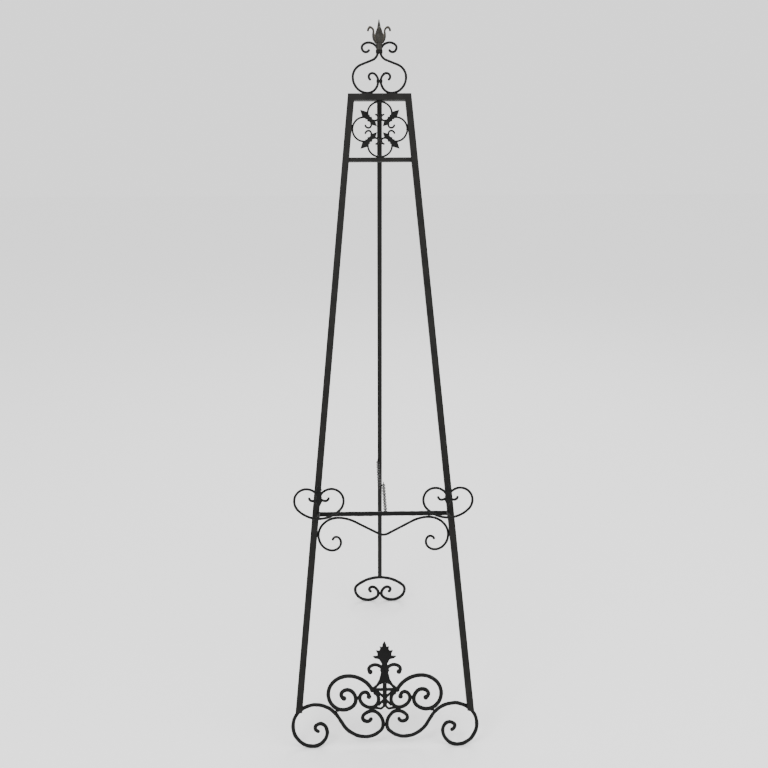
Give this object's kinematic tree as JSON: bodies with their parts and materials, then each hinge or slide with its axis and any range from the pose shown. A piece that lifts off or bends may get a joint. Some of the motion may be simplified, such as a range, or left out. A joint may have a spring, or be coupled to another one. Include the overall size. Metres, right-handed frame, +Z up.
{
  "type": "display easel",
  "caption": "Folding wrought iron floor easel with a leaning scrollwork front frame, forward shelf hearts and struts, and a hinged back leg held by a chain.",
  "frame": {"origin": "middle of the footprint on the floor, below the middle of the open easel", "axes": "+Z up, the front with the scrollwork faces -Y, +X to the right seen from the front"},
  "size_m": [0.4496, 0.7072, 1.6608],
  "materials": {
    "black_iron": "satin black powder coat on hammered iron",
    "finial_iron": "black with rubbed bronze-grey highlights",
    "chain_steel": "blackened steel"
  },
  "bodies": {
    "front_frame": {"apron_scroll": "black_iron", "base_scroll_left": "black_iron", "base_scroll_right": "black_iron", "chain_front_eye": "black_iron", "crest_lower_collar": "black_iron", "crest_scroll_left": "black_iron", "crest_scroll_right": "black_iron", "crest_upper_collar": "black_iron", "finial_socket": "finial_iron", "finial_spike": "finial_iron", "finial_tulip": "finial_iron", "front_leg_left": "black_iron", "front_leg_right": "black_iron", "heart_collar_left": "black_iron", "heart_collar_right": "black_iron", "heart_leaf_left": "black_iron", "heart_leaf_right": "black_iron", "heart_scroll_left": "black_iron", "heart_scroll_right": "black_iron", "hinge_bracket": "black_iron", "hinge_nut": "black_iron", "hinge_pin": "black_iron", "medallion_palmette": "black_iron", "medallion_ring_left": "black_iron", "medallion_ring_right": "black_iron", "medallion_scroll_left": "black_iron", "medallion_scroll_right": "black_iron", "medallion_strapwork": "black_iron", "panel_bar": "black_iron", "panel_leaf_lower_left": "black_iron", "panel_leaf_lower_right": "black_iron", "panel_leaf_upper_left": "black_iron", "panel_leaf_upper_right": "black_iron", "panel_scroll_bottom": "black_iron", "panel_scroll_left": "black_iron", "panel_scroll_right": "black_iron", "panel_scroll_top": "black_iron", "shelf_bar": "black_iron", "shelf_strut_left": "black_iron", "shelf_strut_right": "black_iron", "top_bar": "black_iron"},
    "back_leg": {"back_leg": "black_iron", "back_foot": "black_iron", "chain_rear_eye": "black_iron"},
    "chain_front": {"chain_front_links": "chain_steel"},
    "chain_rear": {"chain_rear_links": "chain_steel"}
  },
  "joints": [
    {"name": "back_leg_fold", "type": "hinge", "parent": "front_frame", "child": "back_leg", "pos_m": [0, 0.15109, 1.47909], "axis": [1, 0, 0], "range_deg": [-24, 0]},
    {"name": "chain_front_swing", "type": "hinge", "parent": "front_frame", "child": "chain_front", "pos_m": [0.0058, -0.16806, 0.52922], "axis": [1, 0, 0], "range_deg": [-103, 0]},
    {"name": "chain_rear_swing", "type": "hinge", "parent": "back_leg", "child": "chain_rear", "pos_m": [-0.0058, 0.27371, 0.48355], "axis": [1, 0, 0], "range_deg": [0, 104]}
  ],
  "couplings": [
    {"joint": "chain_front_swing", "follows": "back_leg_fold", "ratio": 4.254},
    {"joint": "chain_rear_swing", "follows": "back_leg_fold", "ratio": -4.31}
  ]
}
